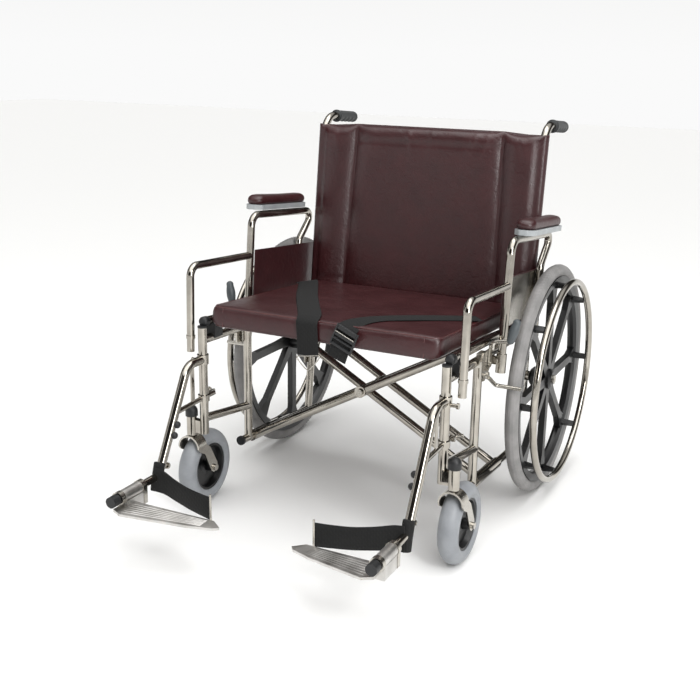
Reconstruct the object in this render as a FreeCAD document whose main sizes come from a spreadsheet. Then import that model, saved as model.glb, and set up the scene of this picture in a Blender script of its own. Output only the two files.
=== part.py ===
import FreeCAD, Part
import math
import os
import Sketcher
from FreeCAD import Placement, Rotation, Vector

# Folding manual wheelchair, millimetres. +Z up, the sitter faces -Y, and the sitter's left is +X.
# The origin is on the floor at the middle of the chair's overall box.
# Left pieces are modelled and the right ones are their mirror images, apart from the cross frame.

doc = FreeCAD.newDocument("Wheelchair")
sheet = doc.addObject("Spreadsheet::Sheet", "Dims")

dims = dict(
    # side frame
    frame_x=320, tube_radius=11, rail_radius=10.7, front_post_y=-249, post_top=480,
    post_low=205, second_post_y=-44, upper_rail_z=448.7, upper_rail_slope=2.5,
    strut_front_z=246, strut_rear_z=216,
    rail_front_y=-78, rail_front_z=127, pivot_slope=4,
    cane_low_y=290, cane_low_z=98, cane_top_y=384, cane_top_z=957, cane_bend=55,
    handle_end_y=563, handle_end_z=943.5, grip_radius=15.5, grip_length=114,
    # casters
    caster_x=352, caster_y=-258, caster_trail=51, caster_radius=97, caster_crown=25,
    housing_radius=13, housing_low=200, housing_top=249.7, stem_radius=8, running_gap=0.05,
    # rear wheels
    axle_y=313, wheel_x=389, wheel_radius=305, tyre_section=17.5, tyre_centre=287.5, axle_radius=6.3,
    hub_radius=27, handrim_x=436, handrim_radius=263, handrim_tube=9, spoke_count=8,
    # cross frame
    seat_rail_x=323, seat_rail_z=492, seat_rail_front_y=-236, seat_rail_rear_y=283,
    brace_pitch=120, brace_a_y=-19, brace_b_y=6.5, sleeve_radius=14.5, cross_bolt=5,
    # arms
    arm_x=357, arm_tube=10, arm_loop_tube=9.7, arm_lean_low_y=14, arm_low_z=403, arm_top_y=43, arm_top_z=714,
    arm_rear_y=385, arm_rear_z=684, arm_leg_z=610,
    pad_length=267, pad_width=52, pad_height=22, pad_base_height=13, pad_x=374, pad_front_y=68,
    panel_thick=3, panel_x=343,
    # footrests
    hanger_top_z=400, hanger_corner_y=-316, leg_corner_y=-442.3, leg_corner_z=163,
    hanger_end_z=178, leg_radius=9.3, leg_front_y=-612, collar_radius=14.5,
    plate_thick=6, plate_hinge_x=318, loop_height=48,
    # soft goods
    seat_front_y=-242, seat_length=538, seat_thick=56, seat_half_width=300, seat_front_top=538,
    back_half_width=334, back_thick=28, back_low_z=452, back_height=486, belt_width=57,
    # wheel locks
    lock_y=-24, lock_z=430, shoe_pivot_y=-52, shoe_pivot_z=408, shoe_rod_y=5, shoe_rod_z=368,
)
for row, (alias, number) in enumerate(dims.items(), start=1):
    sheet.set(f"A{row}", alias)
    sheet.set(f"B{row}", str(number))
    sheet.setAlias(f"B{row}", alias)
doc.recompute()


class Values:
    """The sheet's numbers, read by name."""

    def __getattr__(self, alias):
        return float(sheet.get(alias))


v = Values()
parts = {}
X = Vector(1, 0, 0)
Y = Vector(0, 1, 0)
Z = Vector(0, 0, 1)
tanPivot = math.tan(math.radians(v.pivot_slope))
tanUpper = math.tan(math.radians(v.upper_rail_slope))


def bottomRailZ(y):
    return v.rail_front_z - (y - v.rail_front_y) * tanPivot


def seatRailZ(y):
    return v.seat_rail_z - (y - v.seat_rail_front_y) * tanPivot


def upperRailZ(y):
    return v.upper_rail_z - (y - v.front_post_y) * tanUpper


def caneY(z):
    rise = (z - v.cane_low_z) / (v.cane_top_z - v.cane_low_z)
    return v.cane_low_y + rise * (v.cane_top_y - v.cane_low_y)


def at(x, y, z):
    return Vector(x, y, z)


def part(name, obj):
    """Make obj the sub-part called name."""
    obj.Label = name
    parts[name] = obj
    return obj


def cell(value):
    """An expression from an alias, an expression or a number."""
    if not isinstance(value, str):
        return str(value)
    return "Dims." + value if value in dims else value


def rod(radius, start, end):
    """A round bar from start to end."""
    bar = doc.addObject("Part::Cylinder", "Rod")
    bar.setExpression("Radius", cell(radius))
    bar.Height = (end - start).Length
    bar.Placement = Placement(start, Rotation(Z, end - start))
    return bar


def block(low, high):
    """A box between two opposite corners."""
    box = doc.addObject("Part::Box", "Block")
    box.Length, box.Width, box.Height = high - low
    box.Placement = Placement(low, Rotation())
    return box


def ball(radius, centre):
    sphere = doc.addObject("Part::Sphere", "Ball")
    sphere.setExpression("Radius", cell(radius))
    sphere.Placement = Placement(centre, Rotation())
    return sphere


def fuse(pieces):
    whole = doc.addObject("Part::MultiFuse", "Fuse")
    whole.Shapes = pieces
    whole.Refine = True
    return whole


def cut(base, tools):
    rest = doc.addObject("Part::Cut", "Cut")
    rest.Base = base
    rest.Tool = tools[0] if len(tools) == 1 else fuse(tools)
    return rest


def group(pieces):
    """Several separate solids kept in one sub-part."""
    several = doc.addObject("Part::Compound", "Group")
    several.Links = pieces
    return several


def bentPath(points, bends):
    """Straight runs through the points, joined by tangent arcs of the given radii."""
    edges = []
    start = points[0]
    for (before, corner, after), bend in zip(zip(points, points[1:], points[2:]), bends):
        back = (before - corner).normalize()
        ahead = (after - corner).normalize()
        half = back.getAngle(ahead) / 2
        first = corner + back * (bend / math.tan(half))
        last = corner + ahead * (bend / math.tan(half))
        middle = corner + (back + ahead).normalize() * (bend / math.sin(half) - bend)
        edges.append(Part.LineSegment(start, first).toShape())
        edges.append(Part.Arc(first, middle, last).toShape())
        start = last
    edges.append(Part.LineSegment(start, points[-1]).toShape())
    return Part.Wire(edges)


def bentTube(radius, points, bends):
    """A round bar swept along a bent path."""
    spine = doc.addObject("Part::Feature", "Spine")
    spine.Shape = bentPath(points, bends)
    ring = doc.addObject("Part::Circle", "Ring")
    ring.setExpression("Radius", cell(radius))
    ring.Placement = Placement(points[0], Rotation(Z, points[1] - points[0]))
    tube = doc.addObject("Part::Sweep", "Tube")
    tube.Sections = [ring]
    tube.Spine = (spine, [])
    tube.Solid = True
    return tube


def sketchOn(body, plane, name):
    """A sketch attached to one of the body's own origin planes."""
    sketch = body.newObject("Sketcher::SketchObject", name)
    support = [f for f in body.Origin.OriginFeatures if f.Role == plane][0]
    sketch.AttachmentSupport = [(support, "")]
    sketch.MapMode = "FlatFace"
    return sketch


def outline(sketch, points):
    """A closed outline of straight lines."""
    first = sketch.GeometryCount
    corners = [Vector(*p, 0) for p in points]
    for i, corner in enumerate(corners):
        sketch.addGeometry(Part.LineSegment(corner, corners[(i + 1) % len(corners)]), False)
    for i in range(len(corners)):
        following = first + (i + 1) % len(corners)
        sketch.addConstraint(Sketcher.Constraint("Coincident", first + i, 2, following, 1))


def newBody():
    return doc.addObject("PartDesign::Body", "Body")


def revolve(body, sketch, cutting=False):
    """Turn a sketch about its own vertical axis."""
    kind = "PartDesign::Groove" if cutting else "PartDesign::Revolution"
    turned = body.newObject(kind, "Turned")
    turned.Profile = sketch
    turned.ReferenceAxis = (sketch, ["V_Axis"])
    turned.Angle = 360
    return turned


def ringBody(sectionRadius, ringRadius):
    """A torus about the body's Z axis, its section a circle bound to the sheet."""
    body = newBody()
    sketch = sketchOn(body, "XZ_Plane", "RingSection")
    start = Vector(float(sheet.get(ringRadius)), 0, 0)
    sketch.addGeometry(Part.Circle(start, Z, 10), False)
    sketch.addConstraint(Sketcher.Constraint("Radius", 0, 10))
    sketch.addConstraint(Sketcher.Constraint("DistanceX", -1, 1, 0, 3, start.x))
    sketch.addConstraint(Sketcher.Constraint("PointOnObject", 0, 3, -1))
    sketch.setExpression("Constraints[0]", cell(sectionRadius))
    sketch.setExpression("Constraints[1]", cell(ringRadius))
    revolve(body, sketch)
    return body


def wheelBody(outlinePoints):
    """A turned solid about the body's Z axis: points are radius and height along the axis."""
    body = newBody()
    sketch = sketchOn(body, "XZ_Plane", "TurnedSection")
    outline(sketch, outlinePoints)
    revolve(body, sketch)
    return body


def plateBody(points, thick):
    """A flat plate in the body's XY plane, padded upwards by a bound thickness."""
    body = newBody()
    sketch = sketchOn(body, "XY_Plane", "PlateOutline")
    outline(sketch, points)
    pad = body.newObject("PartDesign::Pad", "Plate")
    pad.Profile = sketch
    pad.setExpression("Length", cell(thick))
    return body


def roundEdges(body, pick, radius):
    """Fillet the edges of the body's last feature that pick chooses."""
    doc.recompute()
    base = body.Tip
    names = [f"Edge{i}" for i, e in enumerate(base.Shape.Edges, start=1) if pick(e)]
    fillet = body.newObject("PartDesign::Fillet", "Rounded")
    fillet.Base = (base, names)
    fillet.Radius = radius
    return fillet


alongX = Rotation(Y, 90)     # turns a body's Z axis to +X


def placed(body, x, y, z, rotation=Rotation()):
    """Put an object at a place bound to the sheet where it is given as an alias or expression."""
    body.Placement = Placement(Vector(0, 0, 0), rotation)
    for axis, value in zip("xyz", (x, y, z)):
        body.setExpression(f"Placement.Base.{axis}", cell(value))
    return body


# ---- Side frame: posts, rails, strut, cane with its push handle, caster housing, arm sockets
def buildSideFrame():
    x = v.frame_x
    postY = v.front_post_y
    cane = [at(x, v.cane_low_y, v.cane_low_z), at(x, v.cane_top_y, v.cane_top_z),
            at(x, v.handle_end_y, v.handle_end_z)]
    railRearY = v.cane_low_y + 1
    upperRearZ = upperRailZ(caneY(424))
    solids = [
        rod("tube_radius", at(x, postY, v.post_low), at(x, postY, v.post_top)),
        rod("tube_radius", at(x, v.second_post_y, bottomRailZ(v.second_post_y)),
            at(x, v.second_post_y, upperRailZ(v.second_post_y))),
        rod("rail_radius", at(x, v.rail_front_y, v.rail_front_z),
            at(x, railRearY, bottomRailZ(railRearY))),
        rod("rail_radius", at(x, postY, v.upper_rail_z), at(x, caneY(424), upperRearZ)),
        rod("rail_radius", at(x, postY, v.strut_front_z), at(x, v.second_post_y, v.strut_rear_z)),
        bentTube("tube_radius", cane, [v.cane_bend]),
        rod("housing_radius", at(v.caster_x, v.caster_y, v.housing_low),
            at(v.caster_x, v.caster_y, v.housing_top)),
        block(at(x + 4, v.caster_y - 4, 207), at(v.caster_x - 6, v.caster_y + 13, 240)),
        block(at(x + 7, v.axle_y - 25, 245), at(x + 14, v.axle_y + 23, 365)),
        rod(13, at(x + 4, v.axle_y, v.wheel_radius), at(x + 24, v.axle_y, v.wheel_radius)),
    ]
    bores = [
        rod("Dims.stem_radius + Dims.running_gap", at(v.caster_x, v.caster_y, v.housing_low - 1),
            at(v.caster_x, v.caster_y, v.housing_top - 3)),
        rod("Dims.axle_radius + Dims.running_gap", at(x - 20, v.axle_y, v.wheel_radius),
            at(x + 30, v.axle_y, v.wheel_radius)),
    ]
    for holeZ in (262, 348):
        bores.append(rod("axle_radius", at(x + 2, v.axle_y + 3, holeZ), at(x + 20, v.axle_y + 3, holeZ)))
    for legY in (armLegY(v.arm_low_z, front=True), armLegY(v.arm_low_z, front=False)):
        low = at(v.arm_x, legY, v.arm_low_z) - armAxis * 4
        solids.append(rod(12.6, low, low + armAxis * 46))
        solids.append(block(at(x + 6, legY - 4, 418), at(v.arm_x - 8, legY + 5, 438)))
        bores.append(rod("Dims.arm_tube + Dims.running_gap", low + armAxis * 3.9, low + armAxis * 60))
    return part("side_frame_left", cut(fuse(solids), bores))


armAxis = Vector(0, v.arm_top_y - v.arm_lean_low_y, v.arm_top_z - v.arm_low_z).normalize()


def armLegY(z, front):
    """Where an arm leg's centre line stands at height z."""
    offset = 0 if front else 264
    return v.arm_lean_low_y + offset + (z - v.arm_low_z) * armAxis.y / armAxis.z


def buildFrameFittings():
    """Black plastic caps and seat-rail saddles, and the push grip."""
    x = v.frame_x
    top = at(v.caster_x, v.caster_y, 262)
    domeFoot = at(v.caster_x, v.caster_y, v.housing_top)
    dome = cut(fuse([rod(15.5, domeFoot, top), ball(15.5, top)]), [rod(16, domeFoot - Z * 20, domeFoot)])
    railAxis = Vector(0, 1, -tanPivot).normalize()
    railEnd = at(x, v.rail_front_y, v.rail_front_z)
    pieces = [dome, rod(12.5, railEnd - railAxis * 7, railEnd),
              rod(11.6, at(x, v.front_post_y, v.post_top), at(x, v.front_post_y, v.post_top + 4))]
    for middle in (-196, 205):
        low = at(x - 13, middle - 17, upperRailZ(middle))
        high = at(x + 16, middle + 17, seatRailZ(middle) + 1)
        seatRail = rod("Dims.tube_radius + 0.4", at(v.seat_rail_x, middle - 60, seatRailZ(middle - 60)),
                       at(v.seat_rail_x, middle + 60, seatRailZ(middle + 60)))
        upperRail = rod("Dims.rail_radius + 0.02", at(x, middle - 60, upperRailZ(middle - 60)),
                        at(x, middle + 60, upperRailZ(middle + 60)))
        pieces.append(cut(block(low, high), [seatRail, upperRail]))
    part("frame_caps_left", group(pieces))

    handleAxis = at(0, v.handle_end_y - v.cane_top_y, v.handle_end_z - v.cane_top_z).normalize()
    bore = v.tube_radius + 0.02
    ribs = 11
    pitch = (v.grip_length - 12) / ribs
    ridge = [(bore, 0), (v.grip_radius + 1.5, 0), (v.grip_radius + 1.5, 6)]
    for i in range(ribs):
        ridge.append((v.grip_radius - 2, 6 + pitch * (i + 0.15)))
        ridge.append((v.grip_radius, 6 + pitch * (i + 0.4)))
        ridge.append((v.grip_radius, 6 + pitch * (i + 0.9)))
    ridge += [(v.grip_radius - 1, v.grip_length - 2), (v.grip_radius - 5, v.grip_length + 4),
              (0, v.grip_length + 4), (0, v.grip_length + 0.1), (bore, v.grip_length + 0.1)]
    grip = wheelBody(ridge)
    gripStart = at(x, v.handle_end_y, v.handle_end_z) - handleAxis * v.grip_length
    grip.Placement = Placement(gripStart, Rotation(Z, handleAxis))
    part("push_grip_left", grip)


# ---- Rear wheel: tyre, spoked wheel, handrim, axle bolt
def buildRearWheel():
    tyre = part("rear_tyre_left", ringBody("tyre_section", "tyre_centre"))
    placed(tyre, "wheel_x", "axle_y", "wheel_radius", alongX)
    rim = part("handrim_left", ringBody("handrim_tube", "handrim_radius"))
    placed(rim, "handrim_x", "axle_y", "wheel_radius", alongX)

    flange = v.tyre_centre - 12.5
    wheel = wheelBody([
        (v.axle_radius + 0.05, -41), (20, -41), (v.hub_radius, -34), (v.hub_radius, 14),
        (20, 19), (v.axle_radius + 0.05, 19),
    ])
    rimSketch = sketchOn(wheel, "XZ_Plane", "RimSection")
    outline(rimSketch, [(256, -13), (flange, -15), (flange, -12.6), (269.6, -6), (269.6, 6),
                        (flange, 12.6), (flange, 15), (256, 13), (251, 5), (251, -5)])
    spokeSketch = sketchOn(wheel, "XY_Plane", "SpokeOutline")
    outline(spokeSketch, [(20, -15), (90, -11), (210, -11), (254, -24), (254, 24), (210, 11),
                          (90, 11), (20, 15)])
    spoke = wheel.newObject("PartDesign::Pad", "Spoke")
    spoke.Profile = spokeSketch
    spoke.Length = 17
    spoke.Midplane = True
    turnedRim = revolve(wheel, rimSketch)
    reach = v.handrim_x - v.wheel_x
    tabSketch = sketchOn(wheel, "XZ_Plane", "TabOutline")
    outline(tabSketch, [(247, 3), (262, 3), (262, 15), (v.handrim_radius - 3, reach - 9.2),
                        (v.handrim_radius - 9.4, reach - 5), (v.handrim_radius - 11.5, reach - 6)])
    tab = wheel.newObject("PartDesign::Pad", "Tab")
    tab.Profile = tabSketch
    tab.Length = 14
    tab.Midplane = True
    pattern = wheel.newObject("PartDesign::PolarPattern", "Spokes")
    pattern.Originals = [spoke, tab]
    pattern.Axis = (spokeSketch, ["N_Axis"])
    pattern.Angle = 360
    pattern.setExpression("Occurrences", cell("spoke_count"))
    wheel.Tip = pattern
    placed(part("mag_wheel_left", wheel), "wheel_x", "axle_y", "wheel_radius", alongX)

    centre = v.wheel_radius
    bolt = fuse([
        rod("axle_radius", at(v.frame_x - 12, v.axle_y, centre), at(v.wheel_x + 26, v.axle_y, centre)),
        rod(12, at(v.wheel_x + 19.5, v.axle_y, centre), at(v.wheel_x + 25, v.axle_y, centre)),
        rod(9, at(v.frame_x - 17, v.axle_y, centre), at(v.frame_x - 11.1, v.axle_y, centre)),
    ])
    part("rear_axle_left", bolt)


# ---- Caster: fork with stem and axle bolt, tyre, hub
def buildCaster():
    legGap = v.caster_crown + 2
    thick = 4
    axleY = v.caster_y + v.caster_trail
    axleZ = v.caster_radius
    crownZ = v.housing_low - 1
    legs = []
    for inner in (v.caster_x - legGap - thick, v.caster_x + legGap):
        strap = plateBody([(-17, -30), (22, -30), (34, -40), (63, -91), (65, -104), (58, -113), (46, -114),
                           (37, -107), (10, -52), (-12, -40)], thick)
        strap.Placement = Placement(at(inner, v.caster_y, crownZ), Rotation(Y, Z, X, "ZXY"))
        legs.append(strap)
    # the crown is an arch over the tyre
    archZ = crownZ - legGap - thick
    front, rear = at(v.caster_x, v.caster_y - 17, archZ), at(v.caster_x, v.caster_y + 18, archZ)
    crown = cut(rod(legGap + thick, front, rear), [
        rod(legGap, front - Y, rear + Y),
        block(at(v.caster_x - 40, v.caster_y - 20, archZ - 40),
              at(v.caster_x + 40, v.caster_y + 20, archZ - 1)),
    ])
    stem = rod("stem_radius", at(v.caster_x, v.caster_y, crownZ - 2),
               at(v.caster_x, v.caster_y, v.housing_top - 5))
    bolt = fuse([rod(4, at(v.caster_x - 36, axleY, axleZ), at(v.caster_x + 36, axleY, axleZ)),
                 rod(8, at(v.caster_x - 37, axleY, axleZ), at(v.caster_x - 31, axleY, axleZ)),
                 rod(8, at(v.caster_x + 31, axleY, axleZ), at(v.caster_x + 37, axleY, axleZ))])
    drilled = cut(fuse(legs + [crown, stem]),
                  [rod(4, at(v.caster_x - 45, axleY, axleZ), at(v.caster_x + 45, axleY, axleZ))])
    part("caster_fork_left", group([drilled, bolt]))

    crownCentre = v.caster_radius - v.caster_crown
    tyre = newBody()
    sketch = sketchOn(tyre, "XZ_Plane", "TreadSection")
    low, high = Vector(crownCentre, -v.caster_crown, 0), Vector(crownCentre, v.caster_crown, 0)
    inLow, inHigh = Vector(62, -20, 0), Vector(62, 20, 0)
    sketch.addGeometry(Part.Arc(low, Vector(v.caster_radius, 0, 0), high), False)
    for start, end in ((high, inHigh), (inHigh, inLow), (inLow, low)):
        sketch.addGeometry(Part.LineSegment(start, end), False)
    revolve(tyre, sketch)
    placed(part("caster_tyre_left", tyre), "caster_x", axleY, axleZ, alongX)
    hub = wheelBody([(4.05, -24), (11, -24), (14, -9), (24, -5), (52, -5), (56, -17), (61.8, -18),
                     (61.8, 18), (56, 17), (52, 5), (24, 5), (14, 9), (11, 24), (4.05, 24)])
    placed(part("caster_hub_left", hub), "caster_x", axleY, axleZ, alongX)


# ---- Footrest: hanger, latch, bumpers, leg, footplate and its collars, heel loop
def buildFootrest():
    x = v.frame_x
    postY = v.front_post_y
    legAxis = Vector(0, v.leg_corner_y - v.hanger_corner_y, v.leg_corner_z - v.hanger_top_z).normalize()
    corner = at(x, v.hanger_corner_y, v.hanger_top_z)

    def alongLeg(z):
        return corner + legAxis * ((z - v.hanger_top_z) / legAxis.z)

    hangerEnd = alongLeg(v.hanger_end_z)
    rearward = Vector(0, -legAxis.z, legAxis.y)
    boltFoot = alongLeg(187) + rearward * 10
    solids = [
        bentTube("tube_radius", [at(x, postY - 6, v.hanger_top_z), corner, hangerEnd], [42]),
        rod("collar_radius", at(x, postY, v.hanger_top_z - 12), at(x, postY, v.hanger_top_z + 12)),
        rod("collar_radius", at(x, postY, 292), at(x, postY, 308)),
        rod(6, alongLeg(296), at(x, postY - 10, 300)),
        rod(6, at(x, postY + 10, 300), at(x, postY + 44, 300)),
        block(at(x - 2, v.hanger_corner_y + 14, 298), at(x + 2, v.hanger_corner_y + 26, 400)),
        rod(5, boltFoot, boltFoot + rearward * 16),
        rod(8, boltFoot + rearward * 10, boltFoot + rearward * 17),
        rod(4.5, at(x + 12, postY, v.hanger_top_z - 7), at(x + 32, postY, v.hanger_top_z - 7)),
        rod(7, at(x + 27, postY, v.hanger_top_z - 7), at(x + 32, postY, v.hanger_top_z - 7)),
    ]
    bores = [
        rod("Dims.tube_radius + Dims.running_gap", at(x, postY, 280), at(x, postY, 430)),
        rod("Dims.leg_radius + Dims.running_gap", alongLeg(v.hanger_end_z - 4), alongLeg(300)),
    ]
    part("hanger_left", cut(fuse(solids), bores))

    bumpers = []
    for height in (274, 251):
        spot = alongLeg(height) + rearward * 3
        bumpers.append(fuse([rod(8.5, spot - X * 8, spot - X * 14), ball(8.5, spot - X * 13)]))
    part("hanger_bumpers_left", cut(group(bumpers), [rod("Dims.tube_radius + 0.01", corner, hangerEnd)]))

    latchPivot = at(x + 10, postY + 34, 300)
    lever = fuse([rod(5, latchPivot - X * 3.5, latchPivot + X * 4),
                  block(latchPivot + at(-3.5, -5, -4), latchPivot + at(1.5, 26, 4)),
                  rod(4, latchPivot + at(-1, 20, 0), latchPivot + at(15, 24, 2)),
                  rod(6, latchPivot + at(11, 23, 1.5), latchPivot + at(15, 24, 2))])
    part("hanger_latch_left", lever)

    front = at(x, v.leg_front_y, v.leg_corner_z)
    legCorner = at(x, v.leg_corner_y, v.leg_corner_z)
    part("leg_tube_left", bentTube("leg_radius", [alongLeg(296), legCorner, front], [20]))
    capEnd = at(x, -618, v.leg_corner_z)
    cap = cut(rod(13, capEnd, capEnd + Y * 22),
              [rod("Dims.leg_radius + 0.02", front, front + Y * 40)])
    part("leg_cap_left", cap)

    # the rear collar is the end of the hinge bracket, and hangs below the tube
    hanging = block(at(x - 16, -519, 124), at(x + 14, -506, v.leg_corner_z))
    collars = []
    for low, high in ((-594, -581), (-519, -506)):
        ring = rod(16, at(x, low, v.leg_corner_z), at(x, high, v.leg_corner_z))
        bore = rod("Dims.leg_radius + Dims.running_gap", at(x, low - 5, v.leg_corner_z),
                   at(x, high + 5, v.leg_corner_z))
        collars.append(cut(ring if low < -550 else fuse([ring, hanging]), [bore]))
    part("footplate_collars_left", group(collars))

    # the plate slopes down towards the middle, in its own plane it is measured from the hinge
    tread = plateBody([(0, -608), (-24, -618), (-168, -568), (-222, -542), (-231, -530),
                       (-205, -512), (-30, -546), (0, -548)], "plate_thick")
    slope = Rotation(Y, -6.3)
    tread.Placement = Placement(at(v.plate_hinge_x + 4, 0, 138.5), slope)
    sleeve = rod(14.6, at(x, -580.5, v.leg_corner_z), at(x, -519.5, v.leg_corner_z))
    foot = block(at(x - 15, -580.5, 124), at(x + 13, -519.5, v.leg_corner_z - 8))
    sleeveBore = rod("Dims.leg_radius + Dims.running_gap", at(x, -600, v.leg_corner_z),
                     at(x, -500, v.leg_corner_z))
    part("footplate_left", cut(fuse([tread, sleeve, foot]), [sleeveBore]))

    strap = plateBody([(0, 0), (-90, -14), (-172, -34), (-174, -30), (-90, -10), (0, 4)], "loop_height")
    strap.Placement = Placement(at(x - 13.5, -468, 119), Rotation())
    part("heel_loop_left", strap)


# ---- Arm: bent tube with its lower loop, side panel, pad base, pad
def buildArm():
    x = v.arm_x
    armFoot = at(x, armLegY(v.arm_low_z, True), v.arm_low_z)
    rearFoot = at(x, armLegY(v.arm_low_z, False), v.arm_low_z)
    hoop = bentTube("arm_tube", [armFoot, at(x, v.arm_top_y, v.arm_top_z), at(x, v.arm_rear_y, v.arm_rear_z),
                                 at(x, armLegY(v.arm_leg_z, False), v.arm_leg_z), rearFoot], [32, 20, 30])
    loop = bentTube("arm_loop_tube", [at(x, armLegY(608, True), 608), at(x, -240, 626),
                                      at(x, -247, 414)], [26])
    ring = rod(11.4, at(x, -245.9, 447), at(x, -245.6, 455))
    part("arm_frame_left", fuse([hoop, loop, ring]))

    panel = plateBody([(28, 498), (372, 478), (366, 594), (38, 623)], "panel_thick")
    panel.Placement = Placement(at(v.panel_x, 0, 0), Rotation(Y, Z, X, "ZXY"))
    part("side_panel_left", panel)

    slope = Rotation(X, math.degrees(math.atan2(v.arm_rear_z - v.arm_top_z, v.arm_rear_y - v.arm_top_y)))
    half = v.pad_width / 2
    nose = 16

    def padShape(inset, height):
        w = half - inset
        length = v.pad_length - inset
        body = plateBody([(-w, inset + nose), (-w + nose, inset), (w - nose, inset), (w, inset + nose),
                          (w, length - nose), (w - nose, length), (-w + nose, length), (-w, length - nose)],
                         height)
        roundEdges(body, lambda e: abs(e.BoundBox.ZLength - float(sheet.get(height))) < 0.01, 9)
        return body

    fall = (v.arm_top_z - v.arm_rear_z) / (v.arm_rear_y - v.arm_top_y)
    padFloor = v.arm_top_z + v.arm_tube + 2.2 - (v.pad_front_y - v.arm_top_y) * fall
    base = padShape(0, "pad_base_height")
    base.Placement = Placement(at(v.pad_x, v.pad_front_y, padFloor), slope)
    part("arm_pad_base_left", base)
    pad = padShape(1.5, "pad_height")
    roundEdges(pad, lambda e: e.BoundBox.ZMin > v.pad_height - 0.01, 8)
    padFoot = at(v.pad_x, v.pad_front_y, padFloor) + slope.multVec(Z * v.pad_base_height)
    pad.Placement = Placement(padFoot, slope)
    part("arm_pad_left", pad)


# ---- Wheel lock: bracket on the upper rail, hand lever, shoe with its rod across the tyre
def buildWheelLock():
    x = v.frame_x
    plate = plateBody([(-72, 396), (-46, 392), (-8, 418), (-4, 440), (-16, 462), (-62, 464), (-74, 446)], 5)
    plate.Placement = Placement(at(x + 14, 0, 0), Rotation(Y, Z, X, "ZXY"))
    clamp = block(at(x + 2, -66, 428), at(x + 15, -34, 462))
    pins = [rod(4, at(x + 14, v.lock_y, v.lock_z), at(x + 26, v.lock_y, v.lock_z)),
            rod(4, at(x + 14, v.shoe_pivot_y, v.shoe_pivot_z), at(x + 31, v.shoe_pivot_y, v.shoe_pivot_z))]
    rail = rod("Dims.rail_radius + 0.02", at(x, -120, upperRailZ(-120)), at(x, 60, upperRailZ(60)))
    post = rod("Dims.tube_radius + 0.02", at(x, v.second_post_y, 380), at(x, v.second_post_y, 450))
    part("lock_bracket_left", cut(fuse([plate, clamp] + pins), [rail, post]))

    leverX = x + 20
    arm = fuse([rod(10, at(leverX, v.lock_y, v.lock_z), at(leverX + 4, v.lock_y, v.lock_z)),
                block(at(leverX, v.lock_y - 8, v.lock_z), at(leverX + 4, v.lock_y + 8, 476)),
                bentTube(5, [at(leverX + 5, v.lock_y + 4, 462), at(leverX + 5, v.lock_y + 8, 480),
                             at(386, -14, 488), at(397, -6, 530)], [8, 10])])
    part("lock_lever_left", cut(arm, [rod("4 + Dims.running_gap", at(leverX - 5, v.lock_y, v.lock_z),
                                          at(leverX + 9, v.lock_y, v.lock_z))]))

    shoeX = x + 25.5
    rodEnd = at(414, v.shoe_rod_y, v.shoe_rod_z)
    shoe = fuse([rod(9, at(shoeX, v.shoe_pivot_y, v.shoe_pivot_z), at(shoeX + 4, v.shoe_pivot_y, v.shoe_pivot_z)),
                 bentTube(5, [at(shoeX + 2.5, v.shoe_pivot_y + 4, v.shoe_pivot_z - 5),
                              at(shoeX + 5, v.shoe_rod_y, v.shoe_rod_z), rodEnd], [9])])
    part("lock_shoe_left", cut(shoe, [rod("4 + Dims.running_gap", at(shoeX - 4, v.shoe_pivot_y, v.shoe_pivot_z),
                                          at(shoeX + 9, v.shoe_pivot_y, v.shoe_pivot_z))]))


# ---- Cross frame: two welded pairs of braces, each with a sleeve on a bottom rail and a seat rail
pivotAxis = Vector(0, 1, -tanPivot).normalize()
pivotUp = Vector(0, tanPivot, 1).normalize()
braceHeight = (seatRailZ(0) - bottomRailZ(0)) * math.cos(math.radians(v.pivot_slope))


def braceEnds(side, y):
    """Ends of one brace: on the bottom rail at side, on the seat rail at the other side."""
    low = at(side * v.frame_x, y, bottomRailZ(y))
    high = low + pivotUp * braceHeight
    high.x = -side * v.seat_rail_x
    return low, high


def braceCentre(side, y):
    low, high = braceEnds(side, y)
    return low + (high - low) * (v.frame_x / (v.frame_x + v.seat_rail_x))


def buildCrossFrame(name, side, firstY, boltGap):
    railX = -side * v.seat_rail_x
    solids = [rod("tube_radius", at(railX, v.seat_rail_front_y, seatRailZ(v.seat_rail_front_y)),
                  at(railX, v.seat_rail_rear_y, seatRailZ(v.seat_rail_rear_y)))]
    bores = []
    for y in (firstY, firstY + v.brace_pitch):
        low, high = braceEnds(side, y)
        solids.append(rod("tube_radius", low, high))
        centre = braceCentre(side, y)
        bores.append(rod(f"Dims.cross_bolt + {boltGap}", centre - pivotAxis * 40, centre + pivotAxis * 40))
        if side < 0:
            boss = rod(15, centre - pivotAxis * 13.5, centre + pivotAxis * 12)
            solids.append(boss)
    sleeveStart = at(side * v.frame_x, -30.5, bottomRailZ(-30.5))
    sleeveEnd = sleeveStart + pivotAxis * (firstY + v.brace_pitch + 46)
    solids.append(rod("sleeve_radius", sleeveStart, sleeveEnd))
    bores.append(rod("Dims.rail_radius + Dims.running_gap", sleeveStart - pivotAxis * 10,
                     sleeveEnd + pivotAxis * 10))
    part(name, cut(fuse(solids), bores))


def buildCrossBolts():
    bolts = []
    for y in (v.brace_a_y, v.brace_a_y + v.brace_pitch):
        centre = braceCentre(-1, y)
        bolts.append(fuse([
            rod("cross_bolt", centre - pivotAxis * 20, centre + pivotAxis * 42),
            rod(9, centre - pivotAxis * 20, centre - pivotAxis * 13.6),
            rod(9, centre + pivotAxis * 37.2, centre + pivotAxis * 43),
        ]))
    part("cross_bolts", group(bolts))


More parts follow.
